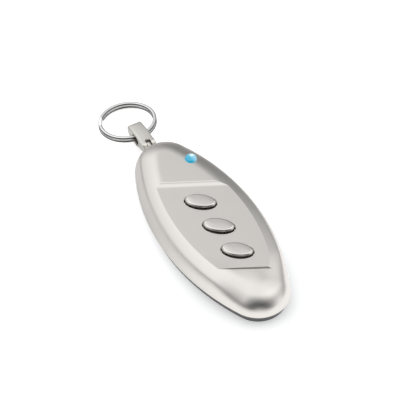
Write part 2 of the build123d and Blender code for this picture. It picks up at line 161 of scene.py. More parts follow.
# points along the arc through three points, its last one left out
def arcThrough(first, middle, last, steps):
    a, b, c = Vector(first), Vector(middle), Vector(last)
    aa, bb, cc = a.length_squared, b.length_squared, c.length_squared
    d = 2 * (a.x * (b.y - c.y) + b.x * (c.y - a.y) + c.x * (a.y - b.y))
    centre = Vector((
        (aa * (b.y - c.y) + bb * (c.y - a.y) + cc * (a.y - b.y)) / d,
        (aa * (c.x - b.x) + bb * (a.x - c.x) + cc * (b.x - a.x)) / d,
    ))
    start, end = (math.degrees(math.atan2(p.y - centre.y, p.x - centre.x)) for p in (a, c))
    turnsLeft = (b - a).cross(c - b) > 0
    turn = (end - start) % 360 if turnsLeft else -((start - end) % 360)
    return arc(centre, (a - centre).length, start, start + turn, steps)


# an ellipse in millimetres, long along Y before it is turned
def ellipse(halfLength, halfWidth, steps=120, centre=(0, 0), turn=0):
    t = math.radians(turn)
    points = []
    for i in range(steps):
        a = 2 * math.pi * i / steps - math.pi / 2
        x, y = halfWidth * math.cos(a), halfLength * math.sin(a)
        across, along = x * math.cos(t) - y * math.sin(t), x * math.sin(t) + y * math.cos(t)
        points.append((centre[0] + across, centre[1] + along))
    return points


# a plain poly curve through points given in millimetres; a section's third value is its drop at the nose
def curveObject(name, points, cyclic=False):
    data = bpy.data.curves.new(name, "CURVE")
    data.dimensions = "3D"
    spline = data.splines.new("POLY")
    spline.points.add(len(points) - 1)
    for point, (x, y, *drop) in zip(spline.points, points):
        point.co = (x * mm, y * mm, sum(drop) * mm, 1)
    spline.use_cyclic_u = cyclic
    return show(bpy.data.objects.new(name, data))


# a closed solid: an outline in millimetres, raised from low to high
def prism(name, outline, low, high):
    bm = bmesh.new()
    face = bm.faces.new([bm.verts.new((x * mm, y * mm, low * mm)) for x, y in outline])
    made = bmesh.ops.extrude_face_region(bm, geom=[face])["geom"]
    top = [v for v in made if isinstance(v, bmesh.types.BMVert)]
    bmesh.ops.translate(bm, verts=top, vec=(0, 0, (high - low) * mm))
    bmesh.ops.recalc_face_normals(bm, faces=bm.faces)
    mesh = bpy.data.meshes.new(name)
    bm.to_mesh(mesh)
    bm.free()
    return meshObject(name, mesh)


# stands a flat shape up across X: its x becomes Y, its y becomes Z, and it moves by y and z millimetres
def stoodUp(piece, y=0, z=0):
    piece.data.transform(Matrix(((0, 0, 1, 0), (1, 0, 0, y * mm), (0, 1, 0, z * mm), (0, 0, 0, 1))))
    return piece


# faces turned outwards, after vertices nearer than weld millimetres are joined
def outward(piece, weld=None):
    bm = bmesh.new()
    bm.from_mesh(piece.data)
    if weld:
        bmesh.ops.remove_doubles(bm, verts=bm.verts, dist=weld * mm)
    bmesh.ops.recalc_face_normals(bm, faces=bm.faces)
    bm.to_mesh(piece.data)
    bm.free()
    return piece


# the piece less its cutters
def carved(piece, cutters, name):
    for cutter in cutters:
        cut = piece.modifiers.new(cutter.name, "BOOLEAN")
        cut.operation = "DIFFERENCE"
        cut.solver = "EXACT"
        cut.object = cutter
    made = flattened(piece, name)
    for cutter in cutters:
        bpy.data.objects.remove(cutter)
    return made


def smoothed(piece, angle):
    piece.data.shade_smooth()
    piece.data.set_sharp_from_angle(angle=math.radians(angle))
    return piece


def painted(piece, material):
    piece.data.materials.clear()
    piece.data.materials.append(material)
    return piece


def handOver(piece, body, slot, *replaced):
    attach(piece, body)
    if replaced:
        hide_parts(*replaced)
    print("piece:", piece.name, len(piece.data.polygons), "faces")
    return piece


# Shader groups that several finishes use

def shaderGroup(name, inputs, outputs):
    tree = bpy.data.node_groups.new(name, "ShaderNodeTree")
    for label, kind, value in inputs:
        made = tree.interface.new_socket(label, in_out="INPUT", socket_type="NodeSocket" + kind)
        made.default_value = value
    for label, kind in outputs:
        tree.interface.new_socket(label, in_out="OUTPUT", socket_type="NodeSocket" + kind)
    return tree, tree.nodes.new("NodeGroupInput").outputs, tree.nodes.new("NodeGroupOutput").inputs


def noise(tree, vector, scale, detail, roughness=0.5):
    return addNode(tree, "ShaderNodeTexNoise", {
        "Vector": vector, "Scale": scale, "Detail": detail, "Roughness": roughness,
    }).outputs[0]


# small even grain: a height for bump and a mask for tone and roughness
def fineGrainGroup():
    tree, given, out = shaderGroup(
        "Fine grain",
        [("Grain Size", "Float", 0.2), ("Patch Size", "Float", 8.0), ("Contrast", "Float", 1.0)],
        [("Height", "Float"), ("Patches", "Float")],
    )
    place = tree.nodes.new("ShaderNodeTexCoord").outputs["Object"]
    grainScale = maths(tree, "DIVIDE", 1000.0, given["Grain Size"])
    patchScale = maths(tree, "DIVIDE", 1000.0, given["Patch Size"])
    grain = noise(tree, place, grainScale, detail=3.0, roughness=0.6)
    patches = noise(tree, place, patchScale, detail=4.0, roughness=0.55)
    tree.links.new(maths(tree, "MULTIPLY", grain, given["Contrast"]), out["Height"])
    tree.links.new(patches, out["Patches"])
    return tree


# short scratches along one direction, for plated and ground metal
def brushedGroup():
    tree, given, out = shaderGroup(
        "Brushed lines",
        [("Stretch", "Vector", (1.0, 1.0, 1.0)), ("Line Size", "Float", 0.1)],
        [("Height", "Float"), ("Dull", "Float")],
    )
    place = tree.nodes.new("ShaderNodeTexCoord").outputs["Object"]
    stretched = vectorMaths(tree, "MULTIPLY", place, given["Stretch"])
    lineScale = maths(tree, "DIVIDE", 1000.0, given["Line Size"])
    lines = noise(tree, stretched, lineScale, detail=4.0, roughness=0.7)
    clouds = noise(tree, place, scale=180.0, detail=3.0)
    tree.links.new(lines, out["Height"])
    tree.links.new(maths(tree, "MULTIPLY", lines, clouds), out["Dull"])
    return tree


fineGrain = fineGrainGroup()
brushedLines = brushedGroup()


# a new material and its Principled shader, plain values set on its sockets
def finish(name, colour, **sockets):
    material = bpy.data.materials.new(name)
    material.use_nodes = True
    tree = material.node_tree
    shader = tree.nodes["Principled BSDF"]
    shader.inputs["Base Color"].default_value = (*colour, 1)
    for key, value in sockets.items():
        shader.inputs[key].default_value = value
    return material, tree, shader


# a mix of two colours, each a plain colour or a colour socket
def blend(tree, factor, first, second):
    mix = addNode(tree, "ShaderNodeMix", {"Factor": factor}, data_type="RGBA")
    ends = [s for s in mix.inputs if s.type == "RGBA"]
    for end, colour in zip(ends, (first, second)):
        wire(tree, end, colour if isinstance(colour, bpy.types.NodeSocket) else (*colour, 1))
    return next(s for s in mix.outputs if s.type == "RGBA")


def bumped(tree, shader, height, depth):
    raised = addNode(tree, "ShaderNodeBump", {"Height": height, "Distance": depth * mm}).outputs[0]
    tree.links.new(raised, shader.inputs["Normal"])


# a finish with fine grain, its size and height in mm; tone and roughness change with the patches
def grained(name, look, **sockets):
    material, tree, shader = finish(name, look["colour"], **sockets)
    group = addNode(tree, "ShaderNodeGroup", {"Grain Size": look["grain"]}, node_tree=fineGrain)
    patches = group.outputs["Patches"]
    bumped(tree, shader, group.outputs["Height"], look["bump"])
    dark = [c * (1 - look["tone"]) for c in look["colour"]]
    pale = [min(1, c * (1 + look["tone"])) for c in look["colour"]]
    tree.links.new(blend(tree, patches, dark, pale), shader.inputs["Base Color"])
    smooth, rough = look["roughness"]
    level = mapped(tree, patches, start=0.0, end=1.0, low=smooth, high=rough, kind="LINEAR")
    tree.links.new(level, shader.inputs["Roughness"])
    return material


# each of these takes its roughness as (lowest, highest)
def satinPaint(name, roughness):
    look = {"colour": (0.69, 0.66, 0.625), "grain": 0.12, "bump": 0.0015, "tone": 0.02}
    return grained(name, {**look, "roughness": roughness}, Metallic=1.0)


def moulded(name, colour, roughness, grain=0.2, bump=0.004, tone=0.08):
    look = {"colour": colour, "grain": grain, "bump": bump, "tone": tone}
    return grained(name, {**look, "roughness": roughness})


# plated or ground metal with short scratches; stretch is their direction, lineSize their width in mm
def platedMetal(name, colour, roughness, stretch=(1.0, 1.0, 1.0), lineSize=0.1, bump=0.001):
    material, tree, shader = finish(name, colour, Metallic=1.0)
    lines = {"Stretch": stretch, "Line Size": lineSize}
    group = addNode(tree, "ShaderNodeGroup", lines, node_tree=brushedLines)
    bumped(tree, shader, group.outputs["Height"], bump)
    smooth, rough = roughness
    level = mapped(tree, group.outputs["Dull"], start=0.1, end=0.4, low=smooth, high=rough, kind="LINEAR")
    tree.links.new(level, shader.inputs["Roughness"])
    return material


paint = satinPaint("satinPaint", (0.31, 0.35))
keyPaint = satinPaint("keyPaint", (0.13, 0.17))
print("paints are ready")


# Casing: an oval of four arcs seen from above, with a section of four arcs

casing = {
    "length": 81.0, "width": 35.2, "tipRadius": 10.6, "partingHeight": 3.55, "crownHeight": 11.35,
    "sideRadius": 11.1, "sideStart": 88.0, "cornerStart": 60.0, "cornerRadius": 2.44,
    "shoulderStart": 27.0, "shoulderRadius": 20.0, "edgeRadius": 8.0,
    "ceiling": 9.9, "innerWall": [(5.8, 9.9), (3.3, 8.5), (2.2, 6.8), (1.7, 4.8)], "rimLip": 0.08,
    "foldInset": 9.3, "crownRings": (10.3, 11.3, 12.3, 13.3, 14.3, 15.3, 16.4), "spineShare": 0.5,
    "tipSteps": 50, "sideSteps": 120,
}
# both ends are lower than the middle, and the nose has a rounder section:
# a slow arc from the crown down to noseSlope, then a quick one into the wall
droop = {
    "nose": 0.25, "noseSlope": 20.0, "noseRadius": 22.0, "noseFrom": 22.0, "noseTo": 34.0,
    "tip": 0.25, "tipFrom": 22.0, "tipTo": 34.0,
}


def ovalOutline(shape):
    w = shape["width"] / 2
    h = shape["length"] / 2
    tip = shape["tipRadius"]
    side = (w * w + (h - tip) ** 2 - tip * tip) / (2 * (w - tip))
    joint = math.degrees(math.atan2(h - tip, side - w))
    tips, sides = shape["tipSteps"], shape["sideSteps"]
    return [
        *arc((0, tip - h), tip, -90, -joint, tips),
        *arc((w - side, 0), side, -joint, joint, sides),
        *arc((0, h - tip), tip, joint, 90, tips),
        *arc((0, h - tip), tip, 90, 180 - joint, tips),
        *arc((side - w, 0), side, 180 - joint, 180 + joint, sides),
        *arc((0, tip - h), tip, 180 + joint, 270, tips),
    ]


# (inset, height, drop at the nose) from the spine inside, round the parting edge and up to the spine
# outside: four arcs that run into each other, each from a steeper slope to a gentler one
def frontSection(shape):
    middle, parting, crown = shape["width"] / 2, shape["partingHeight"], shape["crownHeight"]
    wall = shape["innerWall"]
    inside = [(middle, shape["ceiling"]), *wall, (wall[-1][0], parting), (shape["rimLip"], parting)]
    points = []
    runs = [  # radius, slope at its end, steps
        (shape["sideRadius"], shape["cornerStart"], 16),
        (shape["cornerRadius"], shape["shoulderStart"], 14),
        (shape["shoulderRadius"], None, 20),
        (shape["edgeRadius"], 0, 8),
    ]
    inset, height, slope = 0.0, parting, shape["sideStart"]
    for radius, end, steps in runs:
        lean = math.radians(slope)
        centre = (inset + radius * math.sin(lean), height - radius * math.cos(lean))
        if end is None:  # the shoulder stops where the edge arc can reach the crown
            edge = shape["edgeRadius"]
            end = math.degrees(math.acos((crown - centre[1] - edge) / (radius - edge)))
        points += arc(centre, radius, 90 + slope, 90 + end, steps)
        slope = end
        inset = centre[0] - radius * math.sin(math.radians(end))
        height = centre[1] + radius * math.cos(math.radians(end))
    points += [(x, crown) for x in (inset, shape["foldInset"], *shape["crownRings"], middle)]
    return inside + [(x, z, max(z - noseHeight(x, crown), 0)) for x, z in points]


# how high the nose section is at an inset from its edge
def noseHeight(inset, crown):
    start, end = math.radians(casing["sideStart"]), math.radians(droop["noseSlope"])
    slow = droop["noseRadius"]
    top = crown - droop["nose"]
    quick = (top - casing["partingHeight"] - slow * (1 - math.cos(end))) / (math.cos(end) - math.cos(start))
    reach = quick * (math.sin(start) - math.sin(end))
    if inset < reach:
        sine = math.sin(start) - inset / quick
        return casing["partingHeight"] + quick * (math.sqrt(1 - sine * sine) - math.cos(start))
    sine = max(math.sin(end) - (inset - reach) / slow, 0)
    return top - slow * (1 - math.sqrt(1 - sine * sine))


# sweeps a section round an outline; past the fold inset the rings close on a spine along Y, and
# between two places along -Y each point sinks by the drop it carries
def sweptShellTree():
    tree, given = geometryTree("Swept shell", [
        ("Outline", "Object"), ("Section", "Object"), ("Fold Inset", "Float"), ("Middle Inset", "Float"),
        ("Spine Share", "Float"), ("Drop From", "Float"), ("Drop To", "Float"), ("Crease Angle", "Float"),
        ("Weld", "Float"), ("Turn", "Vector"), ("Place", "Vector"), ("Material", "Material"),
    ])
    outline = addNode(tree, "GeometryNodeObjectInfo", {"Object": given["Outline"]}).outputs["Geometry"]
    section = addNode(tree, "GeometryNodeObjectInfo", {"Object": given["Section"]}).outputs["Geometry"]
    position = tree.nodes.new("GeometryNodeInputPosition").outputs[0]
    tangent = tree.nodes.new("GeometryNodeInputTangent").outputs[0]
    inward = vectorMaths(tree, "NORMALIZE", vectorMaths(tree, "CROSS_PRODUCT", (0, 0, 1), tangent))
    outline, rim = capture(tree, outline, position)
    outline, towards = capture(tree, outline, inward)
    section, level = capture(tree, section, position)
    swept = addNode(tree, "GeometryNodeCurveToMesh", {"Curve": outline, "Profile Curve": section}).outputs[0]

    inset, height, drop = separated(tree, level)
    stay = maths(tree, "MINIMUM", inset, given["Fold Inset"])
    loopAt = vectorMaths(tree, "ADD", rim, scaled(tree, towards, stay))
    spineY = maths(tree, "MULTIPLY", separated(tree, loopAt)[1], given["Spine Share"])
    spine = addNode(tree, "ShaderNodeCombineXYZ", {1: spineY}).outputs[0]
    past = maths(tree, "MAXIMUM", maths(tree, "SUBTRACT", inset, given["Fold Inset"]), 0.0)
    room = maths(tree, "SUBTRACT", given["Middle Inset"], given["Fold Inset"])
    share = maths(tree, "SUBTRACT", 1.0, maths(tree, "DIVIDE", past, room))
    fromSpine = vectorMaths(tree, "SUBTRACT", loopAt, spine)
    drawn = vectorMaths(tree, "ADD", spine, scaled(tree, fromSpine, share))
    sunk = mapped(tree, separated(tree, drawn)[1], given["Drop From"], given["Drop To"], 0.0, drop)
    height = maths(tree, "SUBTRACT", height, sunk)
    raised = vectorMaths(tree, "ADD", drawn, addNode(tree, "ShaderNodeCombineXYZ", {2: height}).outputs[0])
    placed = addNode(tree, "GeometryNodeSetPosition", {"Geometry": swept, "Position": raised}).outputs[0]
    merged = addNode(tree, "GeometryNodeMergeByDistance", {
        "Geometry": placed, "Distance": given["Weld"],
    }).outputs[0]
    moved = addNode(tree, "GeometryNodeTransform", {
        "Geometry": merged, "Rotation": given["Turn"], "Translation": given["Place"],
    }).outputs[0]
    closeTree(tree, creased(tree, moved, given["Crease Angle"]), given["Material"])
    return tree


sweptShell = sweptShellTree()


# a swept shell of a shape's own width, fold inset and spine share; edges past the crease angle are sharp
def sweep(name, outline, section, material, shape, crease=25, turn=0, place=(0, 0, 0)):
    outlineCurve = curveObject(name + "Outline", outline, cyclic=True)
    sectionCurve = curveObject(name + "Section", section)
    made = grown(name, sweptShell, {
        "Outline": outlineCurve, "Section": sectionCurve,
        "Fold Inset": shape["foldInset"] * mm, "Middle Inset": shape["width"] / 2 * mm,
        "Spine Share": shape["spineShare"],
        "Drop From": -droop["noseFrom"] * mm, "Drop To": -droop["noseTo"] * mm,
        "Crease Angle": math.radians(crease), "Weld": 0.002 * mm, "Turn": (0, 0, math.radians(turn)),
        "Place": [p * mm for p in place], "Material": material,
    })
    bpy.data.objects.remove(outlineCurve)
    bpy.data.objects.remove(sectionCurve)
    return outward(made)


# Key field: a flat cut across the crown between two slanted steps, with the key and light openings

field = {
    "angle": 27.0,
    # end walls as (distance along the field, height): the far one has a small dip below its upper edge
    "farWall": [
        (13.15, 10.9), (13.3, 10.92), (14.3, 11.24), (14.45, 11.265), (14.8, 11.25), (14.95, 11.27),
        (15.25, 11.36),
    ],
    "nearWall": [(-22.95, 11.36), (-22.4, 10.98), (-22.2, 10.9)],
    "nearTurn": 1.7,  # the near step slants a little more than the far one
    # the fine crease at the foot of the near wall, seen from above as (across, along), and its lowest level
    "crease": [(2.6, -22.2), (7.0, -21.9), (17.0, -21.6), (18.4, -22.05), (17.0, -22.5), (7.0, -22.42)],
    "creaseLow": 10.3,
    # where the cutter ends: its top corners, and how far it reaches to both sides
    "cutEnds": [(-23.5, 12.4), (15.8, 12.4)], "cutReach": 40,
}
openings = {"low": 9.0, "high": 13.0, "lightPlay": 0.06}  # the holes through the field
keys = {  # turned from long along Y
    "length": 10.2, "width": 5.6, "turn": -130.0, "first": 7.0, "pitch": 11.94, "gap": 0.5,
    "top": 12.2, "edge": 0.75, "dome": 0.08, "flange": 0.8, "bottom": 8.7, "flangeHeight": 0.6,
    "foldInset": 0.6, "spineShare": 0.55,
}
light = {
    "x": 6.6, "y": 25.0, "width": 3.9, "bottom": 7.6, "base": 10.9, "top": 12.2,
    "flange": 0.4, "flangeHeight": 0.6,
    "fullness": 3.2, "domeSteps": 24,  # a fullness of 2 is an elliptical dome, more is squarer
    "foldInset": 0.1, "spineShare": 0.0,
}
keyPlaces = [keys["first"] - i * keys["pitch"] for i in range(3)]


def fieldCutters():
    near, far = field["cutEnds"]
    side = [near, *field["nearWall"], *field["farWall"], far]
    cutter = stoodUp(prism("fieldCutter", side, -field["cutReach"], field["cutReach"]))
    crease = prism("creaseCutter", field["crease"], field["creaseLow"], near[1])
    slant = math.tan(math.radians(field["nearTurn"]))
    for made in (cutter, crease):
        for vertex in made.data.vertices:
            if vertex.co.y < 0:
                vertex.co.y -= slant * vertex.co.x
        made.data.transform(Matrix.Rotation(-math.radians(field["angle"]), 4, "Z"))
    return [cutter, crease]


# lowers the casing towards the ring end, then cuts the field and the openings, their edges kept crisp
def shapingTree():
    tree, given = geometryTree("Casing shaping", [
        ("Cutters", "Collection"), ("Parting Height", "Float"), ("Crown Height", "Float"),
        ("Tip Droop", "Float"), ("Tip From", "Float"), ("Tip To", "Float"),
        ("Crease Angle", "Float"), ("Material", "Material"),
    ])
    place = separated(tree, tree.nodes.new("GeometryNodeInputPosition").outputs[0])
    lowered = mapped(tree, place[1], given["Tip From"], given["Tip To"], 0.0, given["Tip Droop"])
    rise = maths(tree, "MAXIMUM", maths(tree, "SUBTRACT", place[2], given["Parting Height"]), 0.0)
    wholeRise = maths(tree, "SUBTRACT", given["Crown Height"], given["Parting Height"])
    drop = maths(tree, "MULTIPLY", lowered, maths(tree, "DIVIDE", rise, wholeRise))
    sink = addNode(tree, "ShaderNodeCombineXYZ", {2: maths(tree, "MULTIPLY", drop, -1.0)}).outputs[0]
    whole = given["Geometry"]
    body = addNode(tree, "GeometryNodeSetPosition", {"Geometry": whole, "Offset": sink}).outputs[0]
    cutters = addNode(tree, "GeometryNodeCollectionInfo", {"Collection": given["Cutters"]}).outputs[0]
    cutters = addNode(tree, "GeometryNodeRealizeInstances", {0: cutters}).outputs[0]
    cut = addNode(tree, "GeometryNodeMeshBoolean", {
        "Mesh 1": body, "Mesh 2": cutters, "Self Intersection": True,
    }, operation="DIFFERENCE", solver="EXACT")
    edged = creased(tree, cut.outputs["Mesh"], given["Crease Angle"], cut.outputs["Intersecting Edges"])
    closeTree(tree, edged, given["Material"])
    return tree


def frontShell():
    body = sweep("casingBody", ovalOutline(casing), frontSection(casing), paint, casing)
    holder = bpy.data.collections.new("cutters")
    cutters = fieldCutters()
    halfLength, halfWidth = keys["length"] / 2 + keys["gap"], keys["width"] / 2 + keys["gap"]
    for i, y in enumerate(keyPlaces):
        hole = ellipse(halfLength, halfWidth, centre=(0, y), turn=keys["turn"])
        cutters.append(prism(f"keyCutter{i}", hole, openings["low"], openings["high"]))
    stem = light["width"] / 2 + openings["lightPlay"]
    hole = ellipse(stem, stem, 64, centre=(light["x"], light["y"]))
    cutters.append(prism("lightCutter", hole, openings["low"], openings["high"]))
    for cutter in cutters:
        holder.objects.link(cutter)
    made = grown("frontShell", shapingTree(), {
        "Cutters": holder, "Crease Angle": math.radians(30), "Material": paint,
        "Parting Height": casing["partingHeight"] * mm, "Crown Height": casing["crownHeight"] * mm,
        "Tip Droop": droop["tip"] * mm, "Tip From": droop["tipFrom"] * mm, "Tip To": droop["tipTo"] * mm,
    }, body)
    for cutter in cutters:
        bpy.data.objects.remove(cutter)
    return made


handOver(frontShell(), "remote", "front_paint", "front_shell")


# Rear shell: a tapered tray under the parting line

rear = {
    "bottomInset": 1.3, "edge": 0.35, "edgeMiddle": (0.19, 0.1),
    "reveal": 0.1, "rimDraft": 0.02, "rimChamfer": 0.08,
    "floor": 1.3, "floorInset": 3.4, "lip": 1.1, "lipOutside": 1.75, "lipInside": 2.55,
    "screwRecess": 1.7, "screwDepth": 1.2, "screwPlaces": (-31.4, 31.4),
}


def rearSection():
    parting = casing["partingHeight"]
    middle = casing["width"] / 2
    edge, bottom = rear["edge"], rear["bottomInset"]
    side = bottom * (1 - edge / parting)
    bulge, rise = rear["edgeMiddle"]
    rim, chamfer = rear["reveal"] + rear["rimDraft"], rear["rimChamfer"]
    top = parting + rear["lip"]
    return [
        (middle, 0), *arcThrough((bottom + edge, 0), (side + bulge, rise), (side, edge), 5), (side, edge),
        (rim, parting - chamfer), (rim + chamfer, parting),
        (rear["lipOutside"], parting), (rear["lipOutside"], top), (rear["lipInside"], top),
        (rear["floorInset"], rear["floor"]), (middle, rear["floor"]),
    ]


def rearShell():
    look = {"grain": 0.25, "bump": 0.02, "tone": 0.1}
    material = moulded("darkPlastic", (0.035, 0.035, 0.038), (0.45, 0.55), **look)
    body = sweep("rearBody", ovalOutline(casing), rearSection(), material, casing, crease=30)
    recesses = []
    for i, y in enumerate(rear["screwPlaces"]):
        circle = ellipse(rear["screwRecess"], rear["screwRecess"], 48, centre=(0, y))
        recesses.append(prism(f"recessCutter{i}", circle, -0.5, rear["screwDepth"]))
    return smoothed(carved(body, recesses, "rearShell"), angle=30)


handOver(rearShell(), "remote", "rear_plastic", "rear_shell")


# Keys: domed oval caps with a flange under the shell

def keySection():
    middle, top = keys["width"] / 2, keys["top"]
    edge, domeFoot = keys["edge"], keys["top"] - keys["dome"]
    bottom, shoulder = keys["bottom"], keys["bottom"] + keys["flangeHeight"]
    halfway = 0.6 * middle  # the middle point of the dome's arc, and the dome's fall there
    fall = keys["dome"] * ((middle - halfway) / (middle - edge)) ** 2
    return [
        (middle, bottom), (-keys["flange"], bottom), (-keys["flange"], shoulder), (0, shoulder),
        *arc((edge, domeFoot - edge), edge, 180, 94, 16),  # up to where the dome's own slope begins
        *arcThrough((edge, domeFoot), (halfway, top - fall), (middle, top), 12),
        (middle, top),
    ]


for index, y in enumerate(keyPlaces):
    cap = sweep(
        f"keyCap{index + 1}", ellipse(keys["length"] / 2, keys["width"] / 2), keySection(), keyPaint, keys,
        crease=35, turn=keys["turn"], place=(0, y, 0),
    )
    handOver(cap, f"key_{index + 1}", "button_paint", f"button_{index + 1}")


# Indicator light: a domed stem that shines blue

# a clear blue dome lit from inside, its blue glow deep at its near left; the paler part along a slope towards
# the far right is a painted sheen, and the nearly white spot under the top is a painted highlight
def glowingLens():
    look = {
        "colour": (0.02, 0.14, 0.20), "roughness": 0.15, "coat": 0.6,
        "deep": (0.008, 0.30, 0.47), "pale": (0.30, 0.56, 0.72),
        "slope": (1.25, 0.16, 0.64), "from": -0.5, "to": 2.6,
        "paintedHighlight": (0.85, 1.0, 1.0), "paintedHighlightAt": (0.75, 0.6, 1.1), "paintedHighlightSize": 1.25,
    }
    material, tree, shader = finish("glowingLens", look["colour"], Roughness=look["roughness"])
    shader.inputs["Coat Weight"].default_value = look["coat"]
    shader.inputs["Emission Strength"].default_value = 1.0
    place = tree.nodes.new("ShaderNodeTexCoord").outputs["Object"]
    middle = (light["x"] * mm, light["y"] * mm, light["base"] * mm)
    offset = vectorMaths(tree, "SUBTRACT", place, middle)
    across = addNode(tree, "ShaderNodeVectorMath", {0: offset, 1: look["slope"]}, operation="DOT_PRODUCT")
    # the glow's own blue, turned paler towards the far right as a painted sheen
    share = mapped(tree, across.outputs["Value"], look["from"] * mm, look["to"] * mm)
    glowAndPaintedSheen = blend(tree, share, look["deep"], look["pale"])
    # painted highlight: the colour goes nearly white near a spot under the top of the dome
    paintedHighlightAt = [m + c * mm for m, c in zip(middle, look["paintedHighlightAt"])]
    away = addNode(tree, "ShaderNodeVectorMath", {0: place, 1: paintedHighlightAt}, operation="DISTANCE").outputs["Value"]
    near = mapped(tree, away, look["paintedHighlightSize"] * mm, 0.0)
    tree.links.new(blend(tree, near, glowAndPaintedSheen, look["paintedHighlight"]), shader.inputs["Emission Color"])
    return material


def lensSection():
    r, base, rise = light["width"] / 2, light["base"], light["top"] - light["base"]
    bottom, shoulder = light["bottom"], light["bottom"] + light["flangeHeight"]
    power = 2 / light["fullness"]
    turns = [math.radians(90 * i / light["domeSteps"]) for i in range(light["domeSteps"] + 1)]
    dome = [(r - r * math.cos(t) ** power, base + rise * math.sin(t) ** power) for t in turns]
    return [(r, bottom), (-light["flange"], bottom), (-light["flange"], shoulder), (0, shoulder), *dome]


lens = sweep(
    "indicatorLens", ellipse(light["width"] / 2, light["width"] / 2, 64), lensSection(), glowingLens(), light,
    crease=35, place=(light["x"], light["y"], 0),
)
handOver(lens, "remote", "lens_blue", "led_lens")


# Link: a flat-sided forked loop on the tip, and the lug between its ears; the pin is the CAD's own

hinge = {
    "y": 42.5, "z": 5.0, "pinRadius": 0.5, "pinPlay": 0.02, "pinHole": (-2.1, 4.0), "earRadius": 1.8,
    "lugRadius": 1.11, "lugWidth": 1.5, "lugEdge": 0.45, "lugPlay": 0.05, "lugRoot": 1.7,
}
loop = {
    "width": 5.0, "edge": 0.55, "slotWidth": 1.8, "slotStart": 36.0, "slotEnd": 43.65, "slotCorner": 0.9,
    "eyeNear": 45.3, "eyeFar": 49.45, "eyeZ": 4.25, "eyeHeight": 2.9,
    # the outside as (y, z), round from the top of the waist
    "waistTop": (45.2, 6.8), "crest": (48.4, 6.9), "shoulder": (51.5, 6.62), "corner": (52.7, 5.95),
    "tip": (53.0, 4.7), "chin": (52.35, 3.15), "heel": (50.8, 2.25), "belly": (47.8, 1.95),
    "waistBottom": (45.2, 2.42),
}


# a flat plate that stands across X: closed outlines in (y, z), the later ones holes, edges rounded
def plateFrom(name, splines, width, edge):
    data = bpy.data.curves.new(name, "CURVE")
    data.dimensions = "2D"
    data.fill_mode = "BOTH"
    for points in splines:
        spline = data.splines.new("POLY")
        spline.points.add(len(points) - 1)
        for point, (y, z) in zip(spline.points, points):
            point.co = (y * mm, z * mm, 0, 1)
        spline.use_cyclic_u = True
    data.extrude = (width / 2 - edge) * mm
    data.bevel_depth = edge * mm
    data.bevel_resolution = 6
    data.offset = -edge * mm
    plate = flattened(show(bpy.data.objects.new(name, data)), name)
    return outward(stoodUp(plate), weld=0.001)


def linkLoop():
    y, z, ear = hinge["y"], hinge["z"], hinge["earRadius"]
    waist = Vector(loop["waistBottom"]) - Vector((y, z))
    turn = math.atan2(waist.y, waist.x) - math.acos(ear / waist.length)
    heel = (y + ear * math.cos(turn), z + ear * math.sin(turn))  # where the straight underside meets the ears
    outside = [
        *arcThrough(heel, (y - ear, z), (y, z + ear), 24),
        (y, z + ear),
        *arcThrough(loop["waistTop"], loop["crest"], loop["shoulder"], 14),
        *arcThrough(loop["shoulder"], loop["corner"], loop["tip"], 10),
        *arcThrough(loop["tip"], loop["chin"], loop["heel"], 10),
        *arcThrough(loop["heel"], loop["belly"], loop["waistBottom"], 12),
        loop["waistBottom"],
    ]
    r = loop["eyeHeight"] / 2
    near, far = loop["eyeNear"] + r, loop["eyeFar"] - r
    eye = [
        *arc((far, loop["eyeZ"]), r, -90, 90, 20), (far, loop["eyeZ"] + r),
        *arc((near, loop["eyeZ"]), r, 90, 270, 20), (near, loop["eyeZ"] - r),
    ]
    plate = plateFrom("linkPlate", [outside, eye], loop["width"], loop["edge"])
    half, end, corner = loop["slotWidth"] / 2, loop["slotEnd"], loop["slotCorner"]
    slot = [
        (-half, loop["slotStart"]), (half, loop["slotStart"]),
        *arc((half - corner, end - corner), corner, 0, 90, 8),
        *arc((corner - half, end - corner), corner, 90, 180, 8),
        (-half, end - corner),
    ]
    bore = hinge["pinRadius"] + hinge["pinPlay"]
    pinCutter = stoodUp(prism("pinCutter", ellipse(bore, bore, 48), *hinge["pinHole"]), y, z)
    return smoothed(carved(plate, [prism("slotCutter", slot, 0, 9), pinCutter], "linkLoop"), angle=40)


def linkLug():
    y, z, r = hinge["y"], hinge["z"], hinge["lugRadius"]
    back = casing["length"] / 2 - hinge["lugRoot"]
    outside = [(back, z - r), *arc((y, z), r, -90, 90, 24), (y, z + r), (back, z + r)]
    hole = arc((y, z), hinge["pinRadius"] + hinge["lugPlay"], 0, 360, 32)
    lug = plateFrom("linkLug", [outside, hole], hinge["lugWidth"], hinge["lugEdge"])
    return smoothed(lug, angle=40)


linkNickel = platedMetal(
    "linkNickel", (0.67, 0.645, 0.60), (0.24, 0.32), stretch=(0.15, 1.0, 1.0), lineSize=0.12,
)
handOver(painted(linkLoop(), linkNickel), "link", "link_metal", "link")
handOver(painted(linkLug(), paint), "remote", "front_paint", "front_shell")


# Split ring: two flat turns of flattened wire and the short climb between them

ring = {
    "outerRadius": 10.0, "wireWidth": 1.25, "wireHeight": 0.83, "wireCorner": 0.38, "turnGap": 0.44,
    "climbCentre": 118.0, "climbAngle": 24.0, "endGap": 3.0, "eyeY": 47.9, "tilt": 9.5,
}


